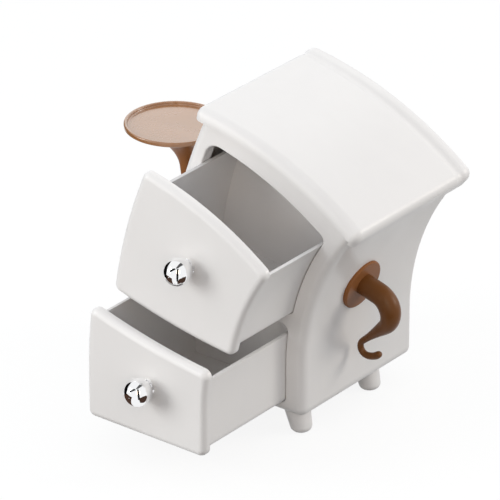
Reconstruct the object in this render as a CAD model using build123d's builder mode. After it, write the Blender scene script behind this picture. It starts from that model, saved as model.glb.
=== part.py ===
"""Desktop drawer organizer: a small cabinet that bends to its right, with two
drawers on ball knobs, an arched lid, four splayed feet, a trunk hook on the right
wall and a dish on a trumpet arm on the left wall. Millimetres, +Z up, front at -Y."""

from build123d import *
import math
import os

# Cabinet body
base_height = 17.5        # underside of the body above the table
left_half = 64.5          # centre line to the left wall at the base, where it stands upright
right_half = 65.9         # centre line to the right wall at the base
body_depth = 132.0        # front face to rear face
bend_height = 57.5        # where the walls stop being upright and start to bend
left_radius = 408.0       # bend of the left wall
right_radius = 180.75     # bend of the right wall
left_bend_angle = 30.0    # enough of the left bend to pass the lid, degrees
right_bend_angle = 50.0   # enough of the right bend to pass the lid, degrees
wall = 3.0                # moulded wall of the body
front_frame = 10.0        # thickness of the frame around the drawers
rear_rim = 8.0            # thickness of the rim that holds the back panel
rim_width = 15.0          # how far the rear rim reaches in from the outside
front_rounding = 7.0      # rounding around the front face
rear_rounding = 5.0       # rounding around the rear face
corner_rounding = 7.4     # lower corners of the outline
left_jamb = 12.8          # frame beside the drawers, left
upper_right_jamb = 15.2   # frame beside the upper drawer, right
lower_right_jamb = 16.4   # frame beside the lower drawer, right
sill = 8.0                # frame under the lower drawer
opening_corner = 5.5
upper_left_corner = 11.0  # the upper opening's highest corner is softer
opening_edge = 1.2        # rounding where the front face turns into an opening
seat_gap = 0.1            # between parts that are screwed together on a curve
fit_gap = 0.2             # between flat parts that drop into a rebate

# Arch of the lid and of the body's top, and the arch of the upper opening
crown_x = -65.8           # centre of the lid's arch, across, from the centre line
crown_z = -53.4           # centre of the lid's arch, up from the table
lid_radius = 295.6        # top of the lid
lid_thickness = 10.0
top_rail = 16.6           # how much smaller the upper opening's arch is than the body's
opening_shift_x = -10.2   # centre of the upper opening's arch, from the lid's
opening_shift_z = 4.3
lid_start = 6.9           # lean of the arch at the lid's left end, degrees
lid_end = 38.2            # lean of the arch at the lid's right end, degrees
lid_front_overhang = 3.5
lid_rear_overhang = 3.8
lid_front_edge = 8.0      # rounding along the lid's top front edge
lid_end_edge = 6.5        # rounding around the top of both ends of the lid
lip_height = 2.4          # lip under the lid's right end, outside the wall
lip_width = 4.5           # the most that the lip may reach inwards, up to the wall
bead_height = 0.9         # bead along the lid's rear edge, above the lid's top
bead_width = 14.3         # from the rear edge to the bottom of the groove before it
bead_slope = 4.6          # how far each side of the groove takes to fall or rise
bead_rounding = 6.0
groove_depth = 1.3        # soft groove before the bead, below the lid's top
groove_rounding = 7.0

# Divider between the drawers, which sags a little
divider_x = 109.5         # centre of the sag, across, from the centre line
divider_z = 640.65        # centre of the sag, up from the table
divider_radius = 550.0
divider_half = 4.9        # half the thickness of the frame between the openings
shelf_thickness = 3.0
ledge_height = 4.0        # ledges inside the walls that carry the shelf
ledge_width = 6.0
guide_height = 6.0        # side guides beside the drawers
runner_width = 10.0       # how far a runner reaches in under the lower drawer

# Drawers
overlap = 3.0             # a face covers this much of the frame beside and above it
upper_floor_overlap = 3.0
lower_floor_overlap = 2.2
face_thickness = 8.0
face_corner = 6.0
bend_margin = 0.5         # how near a point counts as the start of a wall's bend
face_edge = 4.8           # soft rounding of the face's front edge
face_back_edge = 1.0
slide_gap = 0.4           # beside the drawer box
run_gap = 0.3             # under the box, and between a closed face and the frame
box_length = 112.0
box_wall = 2.2
upper_open = 64.9         # how far the upper drawer stands open
lower_open = 90.3         # how far the lower drawer stands open
upper_rim_height = 187.0  # top of the box above the centre line
upper_rim_tilt = 17.4     # degrees, lower to the right
lower_rim_height = 93.5
lower_rim_tilt = 12.7
rim_clearance = 10.0      # how far above the opening the box's hollow is cut
stop_width = 24.0         # tab on the box's rear wall that stops it at the frame
stop_reach = 4.0          # how far the tab rises behind the frame
upper_stop_x = 20.0
lower_stop_x = 0.0

# Knobs, and the screws that hold them and the faces
knob_radius = 10.4
knob_reach = 12.0         # ball centre in front of the face
knob_neck_radius = 3.6
knob_foot_radius = 5.6
knob_foot = 1.4
upper_knob_x = 19.7
upper_knob_z = 156.1
lower_knob_x = 3.1
lower_knob_z = 65.8
screw_radius = 1.5
screw_head_radius = 3.0
screw_head = 1.6
screw_gap = 0.05          # around every screw's shank
knob_screw_grip = 7.0     # thread inside the knob
face_screw_grip = 5.0     # thread inside the face
face_screw_spread_x = 30.0
face_screw_spread_z = 14.0

# Feet
foot_top_radius = 11.2
foot_tip_radius = 7.8
foot_tip_rounding = 4.5
foot_top_height = 30.0    # a foot runs up into the body, whose form is cut from it
foot_x = 46.4
foot_front = 14.0         # foot's centre behind the front face
foot_rear = 96.0
foot_splay_x = 8.4
foot_splay_y = 0.5
foot_screw_x = 48.0
foot_screw_grip = 6.0

# Plates on the walls, and the hook on the right one
mount_row = 57.4          # hook and arm stand this far behind the front face
plate_radius = 19.5
plate_thickness = 3.2
plate_rounding = 1.2
hook_height = 107.6
hook_rise = 1.5           # the trunk leaves its plate a little above the middle
hook_lead = 13.9          # straight run out of the plate
hook_bend_radius = 14.7
hook_bend_angle = 122.4
hook_run = 25.9
hook_curl_radius = 6.1
hook_curl_angle = 139.4
hook_tip_bend_radius = 15.8
hook_tip_bend_angle = 48.0
hook_root_radius = 8.1
hook_curl_tube = 2.4      # radius of the tube in the small curl
hook_taper_start = 23.5   # along the hook, from the plate
hook_taper_end = 73.0
hook_tip_radius = 2.8
hook_tip_rounding = 2.2
hook_stations = 30

# Dish on its trumpet arm, on the left wall
arm_height = 129.6
arm_lead = 3.9
arm_bend_radius = 25.0
arm_neck_lean = 10.0      # lean of the neck above the bend, which ends upright, degrees
arm_neck_bend_radius = 185.4
arm_root_radius = 8.6
arm_neck_radius = 5.5
arm_mouth_radius = 26.0
arm_taper_end = 36.0      # along the arm, from the plate
arm_flare = 28.0          # length of the trumpet mouth
arm_stations = 30
dish_radius = 37.6
dish_thickness = 3.8
dish_offset = 9.3         # the dish's centre stands off the arm, away from the body
dish_rim = 2.6
dish_depth = 2.4
dish_rounding = 1.1
wall_screw_spread = 10.0  # between the two screws behind each plate
wall_screw_grip = 8.0

# Back panel, and the small screws of the panel, the lid and the feet
panel_inset = 7.5         # edge of the back panel, from the outside
panel_thickness = 2.5
panel_screw_inset = 11.4
panel_screw_heights_left = (60.0, 130.0, 200.0)
panel_screw_heights_right = (60.0, 110.0, 160.0)
panel_grip = 4.0
lid_screw_leans = (14.0, 30.0)
lid_screw_rows = (26.0, 108.0)
lid_grip = 6.0
small_screw_radius = 1.2
small_head_radius = 2.4
small_head = 1.4

# Places that follow from the sizes above
left_bend_x = left_radius - left_half
right_bend_x = right_radius + right_half
crown_radius = lid_radius - lid_thickness - seat_gap
opening_radius = crown_radius - top_rail
lid_arch = (crown_x, crown_z)
opening_arch = (crown_x + opening_shift_x, crown_z + opening_shift_z)
shelf_radius = divider_radius - divider_half
ceiling = crown_z + 2 * lid_radius
hook_lean = math.asin((hook_height - bend_height) / right_radius)
arm_lean = math.asin((arm_height - bend_height) / left_radius)
hook_seat_x = right_bend_x - right_radius * math.cos(hook_lean)
arm_seat_x = left_bend_x - left_radius * math.cos(arm_lean)
arm_reach = arm_lead + plate_thickness
neck_lean = math.radians(arm_neck_lean)
arm_mouth_x = (
    arm_seat_x - arm_reach * math.cos(arm_lean)
    - arm_bend_radius * (math.cos(neck_lean) - math.sin(arm_lean))
    - arm_neck_bend_radius * (1 - math.cos(neck_lean))
)
arm_mouth_z = (
    arm_height + arm_reach * math.sin(arm_lean)
    + arm_bend_radius * (math.cos(arm_lean) - math.sin(neck_lean))
    + arm_neck_bend_radius * math.sin(neck_lean)
)
dish_x = arm_mouth_x - dish_offset

# The origin lies under the middle of the whole object, drawers open as photographed
right_reach = crown_x + lid_radius * math.sin(math.radians(lid_end))
left_reach = dish_x - dish_radius
cabinet_x = -(left_reach + right_reach) / 2
front_reach = lower_open + face_thickness + knob_reach + knob_radius
front_y = (front_reach - body_depth - lid_rear_overhang) / 2

os.makedirs("parts", exist_ok=True)


def finish(piece, name):
    """Label a finished piece and write it."""
    piece.label = name
    export_step(piece, f"parts/{name}.step")


def front_plane(behind):
    """Plane that looks at the front, a distance behind the front face. Its own
    x runs across from the centre line, and its own y is the height."""
    return Plane(
        origin=(cabinet_x, front_y + behind, 0), x_dir=(1, 0, 0), z_dir=(0, -1, 0)
    )


def cabinet_plane(x, behind, height, facing):
    """Plane at a place measured from the centre line and the front face."""
    return Plane(
        origin=(cabinet_x + x, front_y + behind, height),
        x_dir=(1, 0, 0) if facing[1] else (0, 1, 0),
        z_dir=facing,
    )


def body_outline(
    plane, left_inset, right_inset, floor, top_radius, corner=0.0, arch=lid_arch
):
    """Front view of the bent body, drawn in by an inset at each side, from a floor
    height up to an arch about its centre."""
    left_x = left_inset - left_half
    right_x = right_half - right_inset
    with BuildSketch(plane) as outline:
        with BuildLine():
            left_wall = Line((left_x, floor), (left_x, bend_height))
            left_bend = CenterArc(
                (left_bend_x, bend_height), left_radius - left_inset, 180, -left_bend_angle
            )
            right_bend = CenterArc(
                (right_bend_x, bend_height), right_radius + right_inset,
                180, -right_bend_angle,
            )
            right_wall = Line((right_x, floor), (right_x, bend_height))
            left_top, right_top = left_bend @ 1, right_bend @ 1
            Polyline(left_top, (left_top.X, ceiling), (right_top.X, ceiling), right_top)
            Line(left_wall @ 0, right_wall @ 0)
        make_face()
        with Locations(arch):
            Circle(top_radius, mode=Mode.INTERSECT)
        if corner:
            fillet(outline.vertices().group_by(Axis.Y)[0], corner)
    return outline.sketch


def round_corners(outline, radius, top_radius):
    """Round the corners of an opening, the highest one with a radius of its own,
    but leave the points where a wall starts to bend."""
    corners = outline.vertices().filter_by(lambda v: abs(v.Y - bend_height) > bend_margin)
    fillet(corners.sort_by(Axis.Y)[:-1], radius)
    fillet(outline.vertices().sort_by(Axis.Y)[-1], top_radius)


def upper_outline(plane, grow, top_grow, floor_grow, corner, top_corner=None):
    """Front view of the upper drawer opening, grown outwards by the given sizes."""
    with BuildSketch(plane) as outline:
        add(
            body_outline(
                Plane.XY, left_jamb - grow, upper_right_jamb - grow,
                base_height, opening_radius + top_grow, arch=opening_arch,
            )
        )
        with Locations((divider_x, divider_z)):
            Circle(shelf_radius + floor_grow, mode=Mode.INTERSECT)
        round_corners(outline, corner, top_corner or corner)
    return outline.sketch


def lower_outline(plane, grow, top_grow, floor_grow, corner):
    """Front view of the lower drawer opening, grown outwards by the given sizes."""
    with BuildSketch(plane) as outline:
        add(
            body_outline(
                Plane.XY, left_jamb - grow, lower_right_jamb - grow,
                base_height + sill - floor_grow, crown_radius,
            )
        )
        with Locations((divider_x, divider_z)):
            Circle(divider_radius + divider_half - top_grow, mode=Mode.SUBTRACT)
        round_corners(outline, corner, corner)
    return outline.sketch


def wall_x(side, height, inset):
    """How far across a side wall's surface lies, at a height and an inset."""
    rise = height - bend_height
    if side < 0:
        return left_bend_x - math.sqrt((left_radius - inset) ** 2 - rise**2)
    return right_bend_x - math.sqrt((right_radius + inset) ** 2 - rise**2)


def arch_plane(lean, radius, behind):
    """Plane square to the arch, at a lean from upright, facing outwards."""
    angle = math.radians(lean)
    across, up = math.sin(angle), math.cos(angle)
    return cabinet_plane(
        crown_x + radius * across, behind, crown_z + radius * up, (across, 0, up)
    )


def swing_plane(lean):
    """Plane of a section that is swung about the arch's axis, at a lean from upright.
    Its own x runs out from the axis, and its own y runs to the front."""
    angle = math.radians(lean)
    across, up = math.sin(angle), math.cos(angle)
    return Plane(
        origin=(cabinet_x + crown_x, front_y, crown_z),
        x_dir=(across, 0, up), z_dir=(up, 0, -across),
    )


def arch_distance(edge):
    """How far an edge's middle lies from the arch's axis."""
    middle = edge.center()
    return math.hypot(middle.X - cabinet_x - crown_x, middle.Z - crown_z)


def shafts(places, radius, start, end):
    """Round bars on each place's plane, from a start to an end along its normal."""
    with BuildPart() as bars:
        for place in places:
            with BuildSketch(place.offset(start)):
                Circle(radius)
            extrude(amount=end - start)
    return bars.part


def screws(places, shank, head, head_height, length):
    """Pan-head screws, the head behind each place's plane and the shank before it."""
    with BuildPart() as screw_set:
        add(shafts(places, shank, -head_height / 2, length))
        add(shafts(places, head, -head_height, 0))
    return screw_set.part


# Screw places that more than one piece shares
panel_places = [
    cabinet_plane(wall_x(side, height, panel_screw_inset), body_depth, height, (0, -1, 0))
    for side, heights in ((-1, panel_screw_heights_left), (1, panel_screw_heights_right))
    for height in heights
]
lid_places = [
    arch_plane(lean, crown_radius - wall - screw_gap, row)
    for lean in lid_screw_leans
    for row in lid_screw_rows
]
foot_places = [
    cabinet_plane(side * foot_screw_x, row, base_height + sill - small_head, (0, 0, -1))
    for side in (-1, 1)
    for row in (foot_front, foot_rear)
]
hook_out = (math.cos(hook_lean), 0, -math.sin(hook_lean))
arm_out = (-math.cos(arm_lean), 0, math.sin(arm_lean))
hook_seat = cabinet_plane(hook_seat_x, mount_row, hook_height, hook_out)
arm_seat = cabinet_plane(arm_seat_x, mount_row, arm_height, arm_out)


def beside(seat, shift, depth):
    """The seat's plane, shifted along its own x and set back into the wall."""
    origin = seat.from_local_coords((shift, 0, -depth))
    return Plane(origin=origin, x_dir=seat.x_dir, z_dir=seat.z_dir)


wall_screw_shifts = (-wall_screw_spread / 2, wall_screw_spread / 2)
hook_places = [beside(hook_seat, shift, wall + screw_gap) for shift in wall_screw_shifts]
arm_places = [beside(arm_seat, shift, wall + screw_gap) for shift in wall_screw_shifts]
small_hole = small_screw_radius + screw_gap
screw_hole = screw_radius + screw_gap

# Outer body, solid, which the shell is hollowed from and the feet are cut to
body_front = body_outline(front_plane(0), 0, 0, base_height, crown_radius, corner_rounding)
with BuildPart() as body_block:
    extrude(body_front, amount=-body_depth)
    front_face = body_block.faces().sort_by(Axis.Y)[0]
    rear_face = body_block.faces().sort_by(Axis.Y)[-1]
    fillet(front_face.edges().sort_by(Axis.Z)[:-1], front_rounding)
    fillet(rear_face.edges().sort_by(Axis.Z)[:-1], rear_rounding)

# The same body a seat's gap larger, which the lid and the plates are cut to
seat_front = body_outline(
    front_plane(0), -seat_gap, -seat_gap, base_height, crown_radius + seat_gap
)
with BuildPart() as seat_block:
    extrude(seat_front, amount=-body_depth)

# Body shell: walls, base and top in one moulding, with the frame around the drawers
cavity_depth = body_depth - front_frame - rear_rim
cavity = body_outline(
    front_plane(front_frame), wall, wall, base_height + wall,
    crown_radius - wall, corner_rounding - wall,
)
upper_opening = upper_outline(front_plane(0), 0, 0, 0, opening_corner, upper_left_corner)
lower_opening = lower_outline(front_plane(0), 0, 0, 0, opening_corner)
rear_opening = body_outline(
    front_plane(body_depth - rear_rim), rim_width, rim_width,
    base_height + rim_width, crown_radius - rim_width, corner_rounding,
)
panel_rebate = body_outline(
    front_plane(body_depth - panel_thickness), panel_inset, panel_inset,
    base_height + panel_inset, crown_radius - panel_inset, corner_rounding,
)
with BuildSketch(front_plane(front_frame)) as ledges:
    with Locations((divider_x, divider_z)):
        Circle(shelf_radius + shelf_thickness + ledge_height)
        Circle(shelf_radius + shelf_thickness, mode=Mode.SUBTRACT)
    add(
        body_outline(Plane.XY, wall / 2, wall / 2, base_height, crown_radius),
        mode=Mode.INTERSECT,
    )
    ledge_inset = wall + ledge_width
    add(
        body_outline(Plane.XY, ledge_inset, ledge_inset, base_height, crown_radius),
        mode=Mode.SUBTRACT,
    )
with BuildPart() as cabinet_shell:
    add(body_block.part)
    extrude(cavity, amount=-cavity_depth, mode=Mode.SUBTRACT)
    extrude(upper_opening, amount=-front_frame, mode=Mode.SUBTRACT)
    extrude(lower_opening, amount=-front_frame, mode=Mode.SUBTRACT)
    extrude(rear_opening, amount=-rear_rim, mode=Mode.SUBTRACT)
    extrude(panel_rebate, amount=-panel_thickness, mode=Mode.SUBTRACT)
    frame_face = cabinet_shell.faces().filter_by(Axis.Y).sort_by(Axis.Y)[0]
    opening_edges = [edge for wire in frame_face.inner_wires() for edge in wire.edges()]
    fillet(opening_edges, opening_edge)
    extrude(ledges.sketch, amount=-cavity_depth)
    panel_hole_depth = panel_thickness + panel_grip
    add(shafts(panel_places, small_hole, 0, panel_hole_depth), mode=Mode.SUBTRACT)
    add(shafts(lid_places, small_hole, -wall, 2 * wall), mode=Mode.SUBTRACT)
    add(shafts(foot_places, small_hole, 0, 2 * sill), mode=Mode.SUBTRACT)
    add(shafts(hook_places, screw_hole, -wall, 2 * wall), mode=Mode.SUBTRACT)
    add(shafts(arm_places, screw_hole, -wall, 2 * wall), mode=Mode.SUBTRACT)
    head_space = screw_head_radius + fit_gap
    head_room = ledge_width + fit_gap
    add(shafts(hook_places + arm_places, head_space, -head_room, 0), mode=Mode.SUBTRACT)
finish(cabinet_shell.part, "cabinet_shell")

# Lid: one section swung about the arch's centre, with a bead along the rear
lid_under = lid_radius - lid_thickness
lid_back = -body_depth - lid_rear_overhang
groove_row = lid_back + bead_width
bead_top = lid_radius + bead_height
lip_turn = math.degrees(lip_width / lid_under)
arch_axis = Axis((cabinet_x + crown_x, front_y, crown_z), (0, 1, 0))
with BuildPart() as lid:
    with BuildSketch(swing_plane(lid_start)) as section:
        with BuildLine():
            Polyline(
                (lid_under, lid_front_overhang),
                (lid_radius, lid_front_overhang),
                (lid_radius, groove_row + bead_slope),
                (lid_radius - groove_depth, groove_row),
                (bead_top, groove_row - bead_slope),
                (bead_top, lid_back),
                (lid_under, lid_back),
                close=True,
            )
        make_face()
        fillet(section.vertices().group_by(Axis.Y)[-1].sort_by(Axis.X)[-1], lid_front_edge)
        fillet(section.vertices().group_by(Axis.Y)[0].sort_by(Axis.X)[-1], bead_rounding)
        groove_points = section.vertices().filter_by(
            lambda v: abs(v.Y - groove_row) < bead_slope + bend_margin
        )
        fillet(groove_points, groove_rounding)
    revolve(axis=arch_axis, revolution_arc=lid_end - lid_start)
    with BuildSketch(swing_plane(lid_end - lip_turn)):
        with Locations((lid_under, lid_front_overhang)):
            Rectangle(
                lip_height, lid_front_overhang - lid_back, align=(Align.MAX, Align.MAX)
            )
    revolve(axis=arch_axis, revolution_arc=lip_turn)
    for end_face in (lid.faces().sort_by(Axis.X)[0], lid.faces().sort_by(Axis.X)[-1]):
        fillet(end_face.edges().sort_by(arch_distance)[1:], lid_end_edge)
    add(seat_block.part, mode=Mode.SUBTRACT)
    add(shafts(lid_places, small_hole, 0, wall + lid_grip + seat_gap), mode=Mode.SUBTRACT)
finish(lid.part, "lid")
finish(
    screws(lid_places, small_screw_radius, small_head_radius, small_head, wall + lid_grip),
    "lid_screws",
)

# Back panel in the rear rim's rebate
panel_edge = panel_inset + fit_gap
panel_front = body_outline(
    front_plane(body_depth - panel_thickness), panel_edge, panel_edge,
    base_height + panel_edge, crown_radius - panel_edge, corner_rounding,
)
with BuildPart() as back_panel:
    extrude(panel_front, amount=-panel_thickness)
    add(shafts(panel_places, small_hole, 0, panel_thickness), mode=Mode.SUBTRACT)
finish(back_panel.part, "back_panel")
panel_screw_length = panel_thickness + panel_grip - fit_gap
finish(
    screws(panel_places, small_screw_radius, small_head_radius, small_head, panel_screw_length),
    "back_panel_screws",
)

# Shelf between the drawers, with a guide strip beside the upper drawer at each side
shelf_depth = cavity_depth - 2 * fit_gap
shelf_inset = wall + fit_gap
with BuildSketch(front_plane(front_frame + fit_gap)) as shelf_profile:
    with Locations((divider_x, divider_z)):
        Circle(shelf_radius + shelf_thickness)
        Circle(shelf_radius - guide_height, mode=Mode.SUBTRACT)
    add(
        body_outline(Plane.XY, shelf_inset, shelf_inset, base_height, crown_radius),
        mode=Mode.INTERSECT,
    )
    add(
        upper_outline(Plane.XY, 0, rim_clearance, 0, 1.0),
        mode=Mode.SUBTRACT,
    )
with BuildPart() as shelf:
    extrude(shelf_profile.sketch, amount=-shelf_depth)
    add(shafts(hook_places + arm_places, head_space, -head_room, wall), mode=Mode.SUBTRACT)
finish(shelf.part, "middle_shelf")

# Runners under the lower drawer, one along each wall, each with a side guide
for side, half, jamb, name in (
    (-1, left_half, left_jamb, "lower_left_runner"),
    (1, right_half, lower_right_jamb, "lower_right_runner"),
):
    guide_edge = side * (half - jamb)
    inner_edge = guide_edge - side * runner_width
    runner_top = base_height + sill
    with BuildSketch(front_plane(front_frame + fit_gap)) as runner_profile:
        with BuildLine():
            Polyline(
                (inner_edge, base_height),
                (inner_edge, runner_top),
                (guide_edge, runner_top),
                (guide_edge, runner_top + guide_height),
                (side * half, runner_top + guide_height),
                (side * half, base_height),
                close=True,
            )
        make_face()
        add(
            body_outline(
                Plane.XY, shelf_inset, shelf_inset, base_height + wall,
                crown_radius, corner_rounding - wall,
            ),
            mode=Mode.INTERSECT,
        )
    own_places = [place for place in foot_places if side * (place.origin.X - cabinet_x) > 0]
    with BuildPart() as runner:
        extrude(runner_profile.sketch, amount=-shelf_depth)
        add(shafts(own_places, small_hole, 0, sill), mode=Mode.SUBTRACT)
        small_head_space = small_head_radius + fit_gap
        add(shafts(own_places, small_head_space, -sill, 0), mode=Mode.SUBTRACT)
    finish(runner.part, name)

# Feet, round and splayed, cut to the underside of the body
foot_screw_length = sill - small_head + foot_screw_grip
for name, side, row, lean in (
    ("front_left_foot", -1, foot_front, -1), ("front_right_foot", 1, foot_front, -1),
    ("rear_left_foot", -1, foot_rear, 1), ("rear_right_foot", 1, foot_rear, 1),
):
    tip = (
        cabinet_x + side * (foot_x + foot_splay_x),
        front_y + row + lean * foot_splay_y,
    )
    root = (cabinet_x + side * foot_x, front_y + row)
    with BuildPart() as foot:
        with BuildSketch(Plane.XY):
            with Locations(tip):
                Circle(foot_tip_radius)
        with BuildSketch(Plane.XY.offset(foot_top_height)):
            with Locations(root):
                Circle(foot_top_radius)
        loft()
        fillet(foot.faces().sort_by(Axis.Z)[0].edges(), foot_tip_rounding)
        add(body_block.part, mode=Mode.SUBTRACT)
        add(shafts(foot_places, small_hole, 0, foot_screw_length + fit_gap), mode=Mode.SUBTRACT)
    finish(foot.part, name)
finish(
    screws(foot_places, small_screw_radius, small_head_radius, small_head, foot_screw_length),
    "foot_screws",
)


def drawer_box(outline, opened, rim_height, rim_tilt, stop_x, face_holes, knob_hole):
    """Open box behind a drawer face, in the form of its opening, with its rim cut
    straight and low at the right, and a stop tab on the rear wall."""
    start = front_plane(-opened)
    box_corner = opening_corner - run_gap
    outer = outline(start, -slide_gap, -run_gap, -run_gap, box_corner)
    hollow_gap = slide_gap + box_wall
    hollow = outline(
        start.offset(-box_wall), -hollow_gap, rim_clearance,
        -run_gap - box_wall, box_corner - box_wall,
    )
    tab_area = outline(Plane.XY, -slide_gap, stop_reach, -run_gap, box_corner)
    with BuildSketch(start) as above_rim:
        with Locations((0, rim_height)):
            Rectangle(
                2 * lid_radius, lid_radius, rotation=-rim_tilt, align=(Align.CENTER, Align.MIN)
            )
    with BuildSketch(start.offset(box_wall - box_length)) as tab:
        tab_base = rim_height - abs(stop_x) * math.tan(math.radians(rim_tilt)) - stop_width / 2
        with Locations((stop_x, tab_base)):
            Rectangle(stop_width, lid_radius, align=(Align.CENTER, Align.MIN))
        add(tab_area, mode=Mode.INTERSECT)
    with BuildPart() as box:
        extrude(outer, amount=-box_length)
        extrude(above_rim.sketch, amount=-box_length, mode=Mode.SUBTRACT)
        extrude(hollow, amount=2 * box_wall - box_length, mode=Mode.SUBTRACT)
        extrude(tab.sketch, amount=-box_wall)
        add(shafts(face_holes, screw_hole, -box_wall, box_wall), mode=Mode.SUBTRACT)
        add(shafts(knob_hole, screw_hole, -box_wall, box_wall), mode=Mode.SUBTRACT)
    return box.part


def drawer_face(outline, opened, floor_overlap, face_holes, knob_hole):
    """Pillow-edged slab in front of a drawer box, larger than the opening."""
    plate = outline(front_plane(-opened), overlap, overlap, floor_overlap, face_corner)
    with BuildPart() as face:
        extrude(plate, amount=face_thickness)
        fillet(face.faces().sort_by(Axis.Y)[0].edges(), face_edge)
        fillet(face.faces().sort_by(Axis.Y)[-1].edges(), face_back_edge)
        add(shafts(face_holes, screw_hole, 0, box_wall + face_screw_grip), mode=Mode.SUBTRACT)
        add(shafts(knob_hole, screw_hole, 0, 2 * face_thickness), mode=Mode.SUBTRACT)
    return face.part


def ball_knob(x, opened, height):
    """Ball on a short waisted neck and a round foot, turned about its screw."""
    screw_place = cabinet_plane(x, -opened - face_thickness, height, (0, -1, 0))
    section = Plane(origin=screw_place.origin, x_dir=(1, 0, 0), z_dir=(0, 0, -1))
    neck_top = knob_reach - math.sqrt(knob_radius**2 - knob_neck_radius**2)
    with BuildPart() as knob:
        with BuildSketch(section):
            with BuildLine():
                Polyline(
                    (0, 0), (knob_foot_radius, 0), (knob_foot_radius, knob_foot / 2),
                    (knob_neck_radius, knob_foot), (knob_neck_radius, neck_top),
                )
                ThreePointArc(
                    (knob_neck_radius, neck_top), (knob_radius, knob_reach),
                    (0, knob_reach + knob_radius),
                )
                Line((0, knob_reach + knob_radius), (0, 0))
            make_face()
        revolve(axis=Axis(section.origin, (0, -1, 0)))
        add(shafts([screw_place], screw_hole, 0, knob_screw_grip + fit_gap), mode=Mode.SUBTRACT)
    return knob.part


# The two drawers: face, box, knob and their screws
for name, outline, opened, floor_overlap, rim_height, rim_tilt, stop_x, knob_x, knob_z in (
    (
        "upper", upper_outline, upper_open, upper_floor_overlap, upper_rim_height,
        upper_rim_tilt, upper_stop_x, upper_knob_x, upper_knob_z,
    ),
    (
        "lower", lower_outline, lower_open, lower_floor_overlap, lower_rim_height,
        lower_rim_tilt, lower_stop_x, lower_knob_x, lower_knob_z,
    ),
):
    inside = box_wall - opened
    knob_hole = [cabinet_plane(knob_x, inside, knob_z, (0, -1, 0))]
    face_holes = [
        cabinet_plane(
            knob_x + across * face_screw_spread_x, inside,
            knob_z + up * face_screw_spread_z, (0, -1, 0),
        )
        for across in (-1, 1)
        for up in (-1, 1)
    ]
    finish(
        drawer_face(outline, opened, floor_overlap, face_holes, knob_hole),
        f"{name}_drawer_face",
    )
    finish(
        drawer_box(outline, opened, rim_height, rim_tilt, stop_x, face_holes, knob_hole),
        f"{name}_drawer_box",
    )
    finish(ball_knob(knob_x, opened, knob_z), f"{name}_knob")
    finish(
        screws(
            face_holes, screw_radius, screw_head_radius, screw_head,
            box_wall + face_screw_grip - fit_gap,
        ),
        f"{name}_face_screws",
    )
    finish(
        screws(
            knob_hole, screw_radius, screw_head_radius, screw_head,
            box_wall + face_thickness + knob_screw_grip,
        ),
        f"{name}_knob_screw",
    )


def wall_plate(seat, places):
    """Round plate with a soft edge, cut to the bent wall that it sits on."""
    with BuildPart() as plate:
        with BuildSketch(seat.offset(-wall)):
            Circle(plate_radius)
        extrude(amount=wall + plate_thickness)
        outer_edge = plate.edges().filter_by(GeomType.CIRCLE).sort_by(
            lambda edge: seat.to_local_coords(edge.center()).Z
        )[-1]
        fillet(outer_edge, plate_rounding)
        add(seat_block.part, mode=Mode.SUBTRACT)
        add(shafts(places, screw_hole, 0, 2 * wall + plate_thickness), mode=Mode.SUBTRACT)
    return plate.part


def tube_along(path, stations, radius_at):
    """Round tube of changing radius, lofted through circles square to a path that
    is drawn in the upright plane through the mounting row."""
    with BuildPart() as tube:
        for step in range(stations + 1):
            share = step / stations
            point, along = path @ share, path % share
            station = cabinet_plane(point.X, mount_row, point.Y, (along.X, 0, along.Y))
            with BuildSketch(station):
                Circle(radius_at(share * path.length))
        loft()
    return tube.part


def eased(value, start, end):
    """Runs smoothly from 0 before the start to 1 after the end."""
    share = min(max((value - start) / (end - start), 0), 1)
    return (1 - math.cos(math.pi * share)) / 2


# Trunk hook: out of the wall, down in a wide bend, and forward again in a small curl
hook_start = (
    hook_seat_x + plate_thickness * hook_out[0] - hook_rise * hook_out[2],
    hook_height + plate_thickness * hook_out[2] + hook_rise * hook_out[0],
)
with BuildLine() as hook_path:
    hook_line = PolarLine(hook_start, hook_lead, -math.degrees(hook_lean))
    hook_bend = JernArc(hook_line @ 1, hook_line % 1, hook_bend_radius, -hook_bend_angle)
    hook_down = Line(hook_bend @ 1, hook_bend @ 1 + hook_bend % 1 * hook_run)
    hook_curl = JernArc(hook_down @ 1, hook_down % 1, hook_curl_radius, hook_curl_angle)
    JernArc(hook_curl @ 1, hook_curl % 1, hook_tip_bend_radius, hook_tip_bend_angle)
hook_wire = hook_path.wire()


def hook_radius(distance):
    """Tube radius along the hook: full to the bend, slim in the curl, fuller tip."""
    slim = eased(distance, hook_taper_start, hook_taper_end)
    fuller = eased(distance, hook_taper_end, hook_wire.length)
    return (
        hook_root_radius - (hook_root_radius - hook_curl_tube) * slim
        + (hook_tip_radius - hook_curl_tube) * fuller
    )


hook_tip = front_plane(mount_row).from_local_coords(hook_wire @ 1)
with BuildPart() as side_hook:
    add(tube_along(hook_wire, hook_stations, hook_radius))
    fillet(side_hook.edges().sort_by_distance(hook_tip)[0], hook_tip_rounding)
    add(
        shafts(hook_places, screw_hole, 0, wall + plate_thickness + wall_screw_grip),
        mode=Mode.SUBTRACT,
    )
finish(side_hook.part, "side_hook")
finish(wall_plate(hook_seat, hook_places), "hook_plate")
wall_screw_length = wall + plate_thickness + wall_screw_grip - fit_gap
finish(
    screws(hook_places, screw_radius, screw_head_radius, screw_head, wall_screw_length),
    "hook_screws",
)

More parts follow.
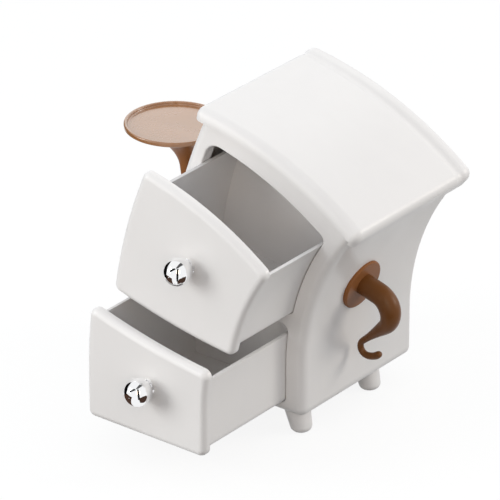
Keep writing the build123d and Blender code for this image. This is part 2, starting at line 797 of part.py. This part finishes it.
# Dish arm: out of the wall, round into an upright neck, and open like a trumpet
arm_start = (
    arm_seat_x + plate_thickness * arm_out[0],
    arm_height + plate_thickness * arm_out[2],
)
with BuildLine() as arm_path:
    arm_line = PolarLine(arm_start, arm_lead, 180 - math.degrees(arm_lean))
    arm_bend = JernArc(
        arm_line @ 1, arm_line % 1, arm_bend_radius,
        math.degrees(arm_lean) + arm_neck_lean - 90,
    )
    JernArc(arm_bend @ 1, arm_bend % 1, arm_neck_bend_radius, -arm_neck_lean)
arm_wire = arm_path.wire()


def arm_radius(distance):
    """Tube radius along the arm: it narrows to the neck and flares at the mouth."""
    slim = eased(distance, 0, arm_taper_end)
    flare = max(distance - (arm_wire.length - arm_flare), 0) / arm_flare
    return (
        arm_root_radius - (arm_root_radius - arm_neck_radius) * slim
        + (arm_mouth_radius - arm_neck_radius) * flare**2
    )


with BuildPart() as dish_arm:
    add(tube_along(arm_wire, arm_stations, arm_radius))
    add(
        shafts(arm_places, screw_hole, 0, wall + plate_thickness + wall_screw_grip),
        mode=Mode.SUBTRACT,
    )
finish(dish_arm.part, "dish_arm")
finish(wall_plate(arm_seat, arm_places), "arm_plate")
finish(
    screws(arm_places, screw_radius, screw_head_radius, screw_head, wall_screw_length),
    "arm_screws",
)

# Dish: a round tray with a low soft rim, one section turned about its middle
dish_section = cabinet_plane(dish_x, mount_row, arm_mouth_z, (0, -1, 0))
dish_floor = dish_thickness - dish_depth
with BuildPart() as dish:
    with BuildSketch(dish_section) as section:
        with BuildLine():
            Polyline(
                (0, 0), (dish_radius, 0), (dish_radius, dish_thickness),
                (dish_radius - dish_rim, dish_thickness),
                (dish_radius - dish_rim, dish_floor), (0, dish_floor),
                close=True,
            )
        make_face()
        fillet(section.vertices().sort_by(Axis.X)[2:], dish_rounding)
    revolve(axis=Axis(dish_section.origin, (0, 0, 1)))
finish(dish.part, "dish")
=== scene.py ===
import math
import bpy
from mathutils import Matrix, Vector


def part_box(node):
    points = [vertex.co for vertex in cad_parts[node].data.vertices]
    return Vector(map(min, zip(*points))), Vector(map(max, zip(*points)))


bl_info = {
    "name": "Desktop Drawer Organizer",
    "version": (1, 1, 0),
    "blender": (4, 5, 0),
    "location": "View3D > Sidebar > Organizer",
    "description": "Dresses a bent desktop cabinet with drawers, a trunk hook and a dish",
    "category": "Object",
}

import bpy
import numpy as np
from bpy.props import (
    FloatProperty,
    FloatVectorProperty,
    PointerProperty,
)
from mathutils import Vector

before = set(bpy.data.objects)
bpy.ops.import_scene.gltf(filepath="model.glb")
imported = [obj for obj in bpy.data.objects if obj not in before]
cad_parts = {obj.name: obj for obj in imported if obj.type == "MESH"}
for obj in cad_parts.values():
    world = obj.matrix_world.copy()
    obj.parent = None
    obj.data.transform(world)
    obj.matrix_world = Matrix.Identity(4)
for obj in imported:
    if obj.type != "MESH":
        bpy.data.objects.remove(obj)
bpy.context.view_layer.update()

# How much further out the right runner reaches than the left one, in metres
right_runner_extra = 0.0014

# Where the cabinet stands: the centre line of its base, and its front face
left_runner_low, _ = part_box("lower_left_runner")
_, right_runner_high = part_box("lower_right_runner")
cabinet_x = (left_runner_low.x + right_runner_high.x - right_runner_extra) / 2
front_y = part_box("cabinet_shell")[0].y


class OrganizerColours(bpy.types.PropertyGroup):
    """Colours of the plastics and metals."""

    body: FloatVectorProperty(
        name="Body", description="Off-white plastic of the body, lid, drawers and feet",
        subtype="COLOR", size=3, min=0, max=1, default=(0.80, 0.786, 0.781),
    )
    panel: FloatVectorProperty(
        name="Inner parts", description="Unpolished plastic of the panel, shelf and runners",
        subtype="COLOR", size=3, min=0, max=1, default=(0.70, 0.69, 0.67),
    )
    hook: FloatVectorProperty(
        name="Hook", description="Dark brown plastic of the hook",
        subtype="COLOR", size=3, min=0, max=1, default=(0.148, 0.054, 0.012),
    )
    plate: FloatVectorProperty(
        name="Plates and arm", description="Brown plastic of the wall plates and dish arm",
        subtype="COLOR", size=3, min=0, max=1, default=(0.25, 0.098, 0.033),
    )
    dish: FloatVectorProperty(
        name="Dish", description="Brown plastic of the dish",
        subtype="COLOR", size=3, min=0, max=1, default=(0.32, 0.14, 0.05),
    )
    chrome: FloatVectorProperty(
        name="Chrome", description="Mirror plating of the knobs",
        subtype="COLOR", size=3, min=0, max=1, default=(0.90, 0.905, 0.915),
    )
    steel: FloatVectorProperty(
        name="Screws", description="Bright steel of the screws",
        subtype="COLOR", size=3, min=0, max=1, default=(0.55, 0.55, 0.56),
    )


class OrganizerStage(bpy.types.PropertyGroup):
    """Camera and light."""

    azimuth: FloatProperty(
        name="Azimuth", description="Camera's turn from straight in front",
        default=math.radians(38.0), unit="ROTATION",
    )
    elevation: FloatProperty(
        name="Elevation", description="Camera's height angle",
        default=math.radians(26.3), unit="ROTATION",
    )
    distance: FloatProperty(
        name="Distance", description="Camera to the point that it looks at",
        default=3.357, unit="LENGTH",
    )
    light: FloatProperty(name="Light", description="Strength of all the lamps", default=1.0)


# Materials

# Moulded plastic: how much of its flow is clouds and how much streaks, how far the gloss
# swings, the coat's roughness, and the depth of sink marks in metres. The peel's depth is
# a share of the grain's.
cloud_share = 0.6
streak_share = 0.4
patch_gloss_drop = 0.05
patch_gloss_rise = 0.04
fine_gloss_swing = 0.03
coat_roughness = 0.14
sink_depth = 0.00022
peel_share = 0.8

# Chrome: its haze, and the depths of its waves and wiping marks in metres
least_haze = 0.015
most_haze = 0.07
wave_depth = 0.00003
wiping_depth = 0.0000015

# Zinc: how its clouds tint the colour, its roughness, and the depth of its turning marks
# in metres
dark_cloud = 0.85
light_cloud = 1.1
least_zinc_roughness = 0.22
most_zinc_roughness = 0.42
turning_depth = 0.00002


def node_material(name, colour, roughness, metallic=0.0):
    """A new node material and its parts: the tree, the shader and Object coordinates."""
    material = bpy.data.materials.new(name)
    material.use_nodes = True
    material.diffuse_color = (*colour, 1.0)
    tree = material.node_tree
    shader = tree.nodes["Principled BSDF"]
    shader.inputs["Base Color"].default_value = (*colour, 1.0)
    shader.inputs["Roughness"].default_value = roughness
    shader.inputs["Metallic"].default_value = metallic
    place = tree.nodes.new("ShaderNodeTexCoord")
    return material, tree, shader, place.outputs["Object"]


def noise(tree, place, scale, detail=3.0, stretch=(1, 1, 1), distortion=0.0):
    """Noise over Object coordinates; a stretch below 1 draws it out along that axis."""
    mapping = tree.nodes.new("ShaderNodeMapping")
    mapping.inputs["Scale"].default_value = stretch
    tree.links.new(place, mapping.inputs["Vector"])
    texture = tree.nodes.new("ShaderNodeTexNoise")
    texture.inputs["Scale"].default_value = scale
    texture.inputs["Detail"].default_value = detail
    texture.inputs["Distortion"].default_value = distortion
    tree.links.new(mapping.outputs["Vector"], texture.inputs["Vector"])
    return texture.outputs["Fac"]


def ranged(tree, value, low, high, start=0.3, end=0.7):
    """A noise value between a start and an end, spread from low to high."""
    spread = tree.nodes.new("ShaderNodeMapRange")
    spread.inputs["From Min"].default_value = start
    spread.inputs["From Max"].default_value = end
    spread.inputs["To Min"].default_value = low
    spread.inputs["To Max"].default_value = high
    tree.links.new(value, spread.inputs["Value"])
    return spread.outputs["Result"]


def combined(tree, operation, first, second):
    """Two values put together by a sum or another operation of the Math node."""
    node = tree.nodes.new("ShaderNodeMath")
    node.operation = operation
    tree.links.new(first, node.inputs[0])
    tree.links.new(second, node.inputs[1])
    return node.outputs["Value"]


def two_tone(tree, value, first, second):
    """A colour that runs from the first to the second with a value."""
    mix = tree.nodes.new("ShaderNodeMix")
    mix.data_type = "RGBA"
    mix.inputs["A"].default_value = (*first, 1.0)
    mix.inputs["B"].default_value = (*second, 1.0)
    tree.links.new(value, mix.inputs["Factor"])
    return mix.outputs["Result"]


def bumped(tree, shader, heights):
    """Adds bumps to a shader: each height is a value and its depth in metres."""
    normal = None
    for value, depth in heights:
        bump = tree.nodes.new("ShaderNodeBump")
        bump.inputs["Strength"].default_value = 1.0
        bump.inputs["Distance"].default_value = depth
        tree.links.new(value, bump.inputs["Height"])
        if normal is not None:
            tree.links.new(normal, bump.inputs["Normal"])
        normal = bump.outputs["Normal"]
    tree.links.new(normal, shader.inputs["Normal"])


def tinted(colour, factor):
    """A colour made lighter or darker by a factor."""
    return tuple(min(channel * factor, 1.0) for channel in colour)


def moulded_plastic(name, colour, roughness, coat=0.0, tone=0.02, grain=0.000012, shine=0.5):
    """Moulded plastic. The melt's flow leaves faint clouds and streaks in its colour.
    The mould leaves a fine grain and slow sink marks. Handling leaves patches where the
    gloss is a little higher or lower. The coat is a weight, the tone is how far the
    colour swings, the grain is a depth in metres and the shine is the specular level."""
    material, tree, shader, place = node_material(name, colour, roughness)
    clouds = noise(tree, place, scale=16.0, detail=2.0)
    streaks = noise(
        tree, place, scale=70.0, detail=4.0, stretch=(1, 1, 0.3), distortion=0.6
    )
    flow = combined(
        tree, "ADD",
        ranged(tree, clouds, low=0.0, high=cloud_share),
        ranged(tree, streaks, low=0.0, high=streak_share),
    )
    colours = two_tone(tree, flow, tinted(colour, 1 - tone), tinted(colour, 1 + tone))
    tree.links.new(colours, shader.inputs["Base Color"])
    patches = noise(tree, place, scale=24.0, detail=3.0, distortion=0.8)
    fine_gloss = noise(tree, place, scale=420.0, detail=4.0)
    gloss = combined(
        tree, "ADD",
        ranged(
            tree, patches, low=roughness - patch_gloss_drop,
            high=roughness + patch_gloss_rise, start=0.35, end=0.65,
        ),
        ranged(tree, fine_gloss, low=-fine_gloss_swing, high=fine_gloss_swing),
    )
    tree.links.new(gloss, shader.inputs["Roughness"])
    shader.inputs["Coat Weight"].default_value = coat
    shader.inputs["Coat Roughness"].default_value = coat_roughness
    shader.inputs["Specular IOR Level"].default_value = shine
    sink = noise(tree, place, scale=30.0, detail=1.0)
    peel = noise(tree, place, scale=380.0, detail=1.0)
    fine = noise(tree, place, scale=2400.0, detail=1.0)
    bumped(tree, shader, [(sink, sink_depth), (peel, grain * peel_share), (fine, grain)])
    return material


def chrome_plating(colour):
    """Mirror chrome with a trace of haze, slow waves and fine wiping marks."""
    material, tree, shader, place = node_material(
        "chrome_plating", colour, roughness=0.04, metallic=1.0
    )
    haze = noise(tree, place, scale=160.0, detail=5.0)
    roughness = ranged(tree, haze, low=least_haze, high=most_haze)
    tree.links.new(roughness, shader.inputs["Roughness"])
    wave = noise(tree, place, scale=90.0, detail=0.0)
    wiped = noise(tree, place, scale=900.0, detail=2.0, stretch=(1, 1, 0.08))
    bumped(tree, shader, [(wave, wave_depth), (wiped, wiping_depth)])
    return material


def zinc_steel(colour):
    """Bright plated steel: fine turning marks and cloudy plating."""
    material, tree, shader, place = node_material(
        "zinc_steel", colour, roughness=0.3, metallic=1.0
    )
    clouds = noise(tree, place, scale=260.0, detail=2.0)
    colours = two_tone(
        tree, ranged(tree, clouds, low=0, high=1),
        tinted(colour, dark_cloud), tinted(colour, light_cloud),
    )
    tree.links.new(colours, shader.inputs["Base Color"])
    marks = noise(tree, place, scale=900.0, detail=3.0)
    roughness = ranged(tree, marks, low=least_zinc_roughness, high=most_zinc_roughness)
    tree.links.new(roughness, shader.inputs["Roughness"])
    bumped(tree, shader, [(marks, turning_depth)])
    return material


def dress(material, *nodes):
    """Gives CAD nodes their material."""
    for node in nodes:
        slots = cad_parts[node].data.materials
        slots.clear()
        slots.append(material)


class ORGANIZER_OT_body(bpy.types.Operator):
    """Dress the body, the lid, the drawers and the feet"""

    bl_idname = "organizer.body"
    bl_label = "Body, lid, drawers and feet"

    def execute(self, context):
        colours = context.scene.organizer_colours
        dress(
            moulded_plastic(
                "body_plastic", colours.body, roughness=0.40, coat=0.10, tone=0.012
            ),
            "cabinet_shell", "lid", "upper_drawer_face", "upper_drawer_box",
            "lower_drawer_face", "lower_drawer_box", "front_left_foot",
            "front_right_foot", "rear_left_foot", "rear_right_foot",
        )
        return {"FINISHED"}


class ORGANIZER_OT_inner_parts(bpy.types.Operator):
    """Dress the back panel, the shelf and the runners"""

    bl_idname = "organizer.inner_parts"
    bl_label = "Inner parts"

    def execute(self, context):
        colours = context.scene.organizer_colours
        dress(
            moulded_plastic("panel_plastic", colours.panel, roughness=0.58, grain=0.00004),
            "back_panel", "middle_shelf", "lower_left_runner", "lower_right_runner",
        )
        return {"FINISHED"}


class ORGANIZER_OT_knobs(bpy.types.Operator):
    """Dress the two chrome ball knobs"""

    bl_idname = "organizer.knobs"
    bl_label = "Knobs"

    def execute(self, context):
        chrome = chrome_plating(context.scene.organizer_colours.chrome)
        dress(chrome, "upper_knob", "lower_knob")
        return {"FINISHED"}


class ORGANIZER_OT_hook_and_dish(bpy.types.Operator):
    """Dress the trunk hook, the dish, its arm and the wall plates"""

    bl_idname = "organizer.hook_and_dish"
    bl_label = "Hook and dish"

    def execute(self, context):
        colours = context.scene.organizer_colours
        dress(
            moulded_plastic(
                "hook_plastic", colours.hook, roughness=0.34, tone=0.14, shine=0.2
            ),
            "side_hook",
        )
        dress(
            moulded_plastic(
                "plate_plastic", colours.plate, roughness=0.40, tone=0.10, shine=0.12
            ),
            "hook_plate", "arm_plate", "dish_arm",
        )
        dress(
            moulded_plastic(
                "dish_plastic", colours.dish, roughness=0.28, coat=0.9, tone=0.10,
                grain=0.000005, shine=0.9,
            ),
            "dish",
        )
        return {"FINISHED"}


class ORGANIZER_OT_screws(bpy.types.Operator):
    """Dress the screws"""

    bl_idname = "organizer.screws"
    bl_label = "Screws"

    def execute(self, context):
        steel = zinc_steel(context.scene.organizer_colours.steel)
        dress(steel, *(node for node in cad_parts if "screw" in node))
        return {"FINISHED"}


# Stage

# The point that the camera looks at: its distance to the right of the cabinet's centre
# line and its height, in metres
target_right = 0.01725
target_height = 0.1395

# The camera's sensor and lens in millimetres, and the end of its view in metres
sensor_width = 36.0
focal_length = 338.4
view_end = 50.0

# The floor's side in metres
floor_size = 12.0

# The floor: the grey that it throws back, and how much of what is seen glows by itself
table_grey = 0.2
glow_share = 0.88
pure_white = (1, 1, 1, 1)

# Kinds of ray that see the white surroundings
seeing_rays = ("Is Camera Ray", "Is Glossy Ray", "Is Transmission Ray")

# Lamps: name, direction from the object, distance and size in metres, watts and tint
lamps = (
    ("key_light", (-0.55, -0.75, 0.35), 2.4, 1.2, 25.8, (0.99, 1.0, 0.97)),
    ("top_light", (-0.2, 0.65, 0.75), 2.4, 1.4, 5.4, (1.0, 0.97, 0.88)),
    ("rear_light", (0.75, 0.6, 0.4), 2.4, 0.9, 18.0, (1.0, 0.94, 0.85)),
    ("front_light", (0.552, -0.706, 0.4), 2.4, 1.2, 9.0, (1.0, 0.78, 0.55)),
    ("low_light", (-0.62, -0.78, -0.13), 0.62, 0.3, 0.5, (1.0, 0.93, 0.90)),
)
# A lamp nearer than this, in metres, doesn't show in the knobs
near_lamp = 1.0
sky = (0.655, 0.69, 0.735)

# How far the cards stand from the knobs, and how far above the floor they stop, in metres
card_reach = 2.2
card_lift = 0.004
# Keeps a line of sight that doesn't fall from dividing by zero
least_fall = 1e-6

# Cards that only reflections see: colour, then the corners as seen from the knobs, each
# by its turn from straight in front and its height, in degrees
cards = {
    "softbox_card": ((1.6, 1.57, 1.52), ((-168, 10), (-168, 46), (-118, 46), (-118, 10))),
    "rear_softbox_card": ((1.5, 1.45, 1.4), ((142, 4), (142, 44), (188, 44), (188, 4))),
    "dark_side_card": ((0.004, 0.004, 0.004), (
        (-118, -6), (-104, -22), (-90, -33), (-59, -26), (-60, 5), (-88, 30), (-122, 30),
    )),
    "long_edge_card": ((0.02, 0.02, 0.02), ((-42, 16), (-31, 4), (14, 43), (0, 52))),
    "upper_edge_card": ((0.10, 0.10, 0.10), (
        (10, 50), (30, 76), (176, 61), (176, 41), (150, 44), (44, 57),
    )),
    "upright_edge_card": ((0.01, 0.01, 0.01), ((28, 52), (32, -44), (45, -44), (46, 52))),
    "left_floor_card": ((0.075, 0.042, 0.030), (
        (-84, -20), (-62, -13), (-36, -14), (-8, -22), (-26, -55), (-90, -72), (-92, -42),
    )),
    "right_floor_card": ((0.062, 0.036, 0.027), (
        (40, -44), (48, -24), (74, -13), (102, -12), (114, -42), (80, -72), (38, -66),
    )),
}


def emitting(name, colour):
    """A material that shines evenly."""
    material = bpy.data.materials.new(name)
    material.use_nodes = True
    tree = material.node_tree
    glow = tree.nodes.new("ShaderNodeEmission")
    glow.inputs["Color"].default_value = (*colour, 1)
    tree.links.new(glow.outputs["Emission"], tree.nodes["Material Output"].inputs["Surface"])
    return material


def reflected_card(name, colour, corners, eye):
    """A fan of triangles that only reflections see. A corner lies on its line of sight
    from the eye: (sin turn cos height, -cos turn cos height, sin height) times the
    cards' reach, or less where that line meets the floor."""
    turn, height = np.radians(np.array(corners, dtype=float)).T
    sight = np.stack(
        (np.sin(turn) * np.cos(height), -np.cos(turn) * np.cos(height), np.sin(height)),
        axis=1,
    )
    to_floor = (eye.z - card_lift) / np.maximum(-sight[:, 2], least_fall)
    points = np.array(eye) + sight * np.minimum(card_reach, to_floor)[:, None]
    rim = np.arange(len(points))
    fan = np.stack((rim, np.roll(rim, -1), np.full_like(rim, len(points))), axis=1)
    mesh = bpy.data.meshes.new(name)
    mesh.from_pydata(np.vstack((points, points.mean(axis=0))), [], fan.tolist())
    mesh.materials.append(emitting(name, colour))
    card = bpy.data.objects.new(name, mesh)
    bpy.context.scene.collection.objects.link(card)
    card.visible_camera = False
    card.visible_diffuse = False
    card.visible_shadow = False
    card.visible_transmission = False


def ray_mix(tree, first, second):
    """Mixes two shaders: the second shows for the rays that see the surroundings."""
    path = tree.nodes.new("ShaderNodeLightPath")
    factor = path.outputs[seeing_rays[0]]
    for ray in seeing_rays[1:]:
        factor = combined(tree, "MAXIMUM", factor, path.outputs[ray])
    mix = tree.nodes.new("ShaderNodeMixShader")
    tree.links.new(factor, mix.inputs["Fac"])
    tree.links.new(first, mix.inputs[1])
    tree.links.new(second, mix.inputs[2])
    return mix.outputs["Shader"]


def pale_floor():
    """A white floor that keeps a faint shadow. What it throws back onto the object is
    the light of a grey table top."""
    material = bpy.data.materials.new("pale_floor")
    material.use_nodes = True
    tree = material.node_tree
    table = tree.nodes["Principled BSDF"]
    table.inputs["Base Color"].default_value = (table_grey, table_grey, table_grey, 1)
    table.inputs["Roughness"].default_value = 1.0
    table.inputs["Specular IOR Level"].default_value = 0.0
    paper = tree.nodes.new("ShaderNodeBsdfDiffuse")
    paper.inputs["Color"].default_value = pure_white
    glow = tree.nodes.new("ShaderNodeEmission")
    glow.inputs["Color"].default_value = pure_white
    seen = tree.nodes.new("ShaderNodeMixShader")
    seen.inputs["Fac"].default_value = glow_share
    tree.links.new(paper.outputs["BSDF"], seen.inputs[1])
    tree.links.new(glow.outputs["Emission"], seen.inputs[2])
    shown = ray_mix(tree, table.outputs["BSDF"], seen.outputs["Shader"])
    tree.links.new(shown, tree.nodes["Material Output"].inputs["Surface"])
    return material


class ORGANIZER_OT_stage(bpy.types.Operator):
    """Set up the camera, the floor, the light and the reflected cards"""

    bl_idname = "organizer.stage"
    bl_label = "Stage"

    def execute(self, context):
        stage = context.scene.organizer_stage
        scene = context.scene
        target = Vector((cabinet_x + target_right, front_y, target_height))
        away = Vector((
            math.sin(stage.azimuth) * math.cos(stage.elevation),
            -math.cos(stage.azimuth) * math.cos(stage.elevation),
            math.sin(stage.elevation),
        ))
        lens = bpy.data.cameras.new("camera")
        lens.sensor_width = sensor_width
        lens.lens = focal_length
        lens.clip_end = view_end
        camera = bpy.data.objects.new("camera", lens)
        camera.location = target + away * stage.distance
        camera.rotation_euler = (-away).to_track_quat("-Z", "Y").to_euler()
        scene.collection.objects.link(camera)
        scene.camera = camera

        bpy.ops.mesh.primitive_plane_add(size=floor_size, location=(0, 0, 0))
        floor = context.object
        floor.name = "floor"
        floor.data.materials.append(pale_floor())

        world = bpy.data.worlds.new("studio")
        scene.world = world
        world.use_nodes = True
        tree = world.node_tree
        even = tree.nodes["Background"]
        even.inputs["Color"].default_value = (*sky, 1)
        even.inputs["Strength"].default_value = 1.0
        white = tree.nodes.new("ShaderNodeBackground")
        white.inputs["Color"].default_value = pure_white
        white.inputs["Strength"].default_value = 1.0
        shown = ray_mix(tree, even.outputs["Background"], white.outputs["Background"])
        tree.links.new(shown, tree.nodes["World Output"].inputs["Surface"])

        for name, direction, distance, size, power, tint in lamps:
            lamp = bpy.data.lights.new(name, "AREA")
            lamp.size = size
            lamp.energy = power * stage.light
            lamp.color = tint
            light = bpy.data.objects.new(name, lamp)
            towards = Vector(direction).normalized()
            light.location = target + towards * distance
            light.rotation_euler = (-towards).to_track_quat("-Z", "Y").to_euler()
            light.visible_glossy = distance > near_lamp
            scene.collection.objects.link(light)

        # The middle between the two knobs, from which the cards are seen
        upper_low, upper_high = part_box("upper_knob")
        lower_low, lower_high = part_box("lower_knob")
        eye = (upper_low + upper_high + lower_low + lower_high) / 4
        for name, (colour, corners) in cards.items():
            reflected_card(name, colour, corners, eye)
        scene.view_settings.view_transform = "Standard"
        return {"FINISHED"}


operators = (
    ORGANIZER_OT_body,
    ORGANIZER_OT_inner_parts,
    ORGANIZER_OT_knobs,
    ORGANIZER_OT_hook_and_dish,
    ORGANIZER_OT_screws,
    ORGANIZER_OT_stage,
)
groups = {
    "organizer_colours": OrganizerColours,
    "organizer_stage": OrganizerStage,
}


class ORGANIZER_PT_panel(bpy.types.Panel):
    """Lists the organizer's operators and settings"""

    bl_idname = "ORGANIZER_PT_panel"
    bl_label = "Drawer organizer"
    bl_space_type = "VIEW_3D"
    bl_region_type = "UI"
    bl_category = "Organizer"

    def draw(self, context):
        for operator in operators:
            self.layout.operator(operator.bl_idname)
        for name, group in groups.items():
            settings = getattr(context.scene, name)
            box = self.layout.box()
            for key in group.__annotations__:
                box.prop(settings, key)


def register():
    for item in (*groups.values(), *operators, ORGANIZER_PT_panel):
        bpy.utils.register_class(item)
    for name, group in groups.items():
        setattr(bpy.types.Scene, name, PointerProperty(type=group))


def unregister():
    for name in groups:
        delattr(bpy.types.Scene, name)
    for item in (ORGANIZER_PT_panel, *reversed(operators), *groups.values()):
        bpy.utils.unregister_class(item)


def main():
    """Register the add-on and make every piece."""
    register()
    for operator in operators:
        category, name = operator.bl_idname.split(".")
        getattr(getattr(bpy.ops, category), name)()


if __name__ == "__main__":
    main()
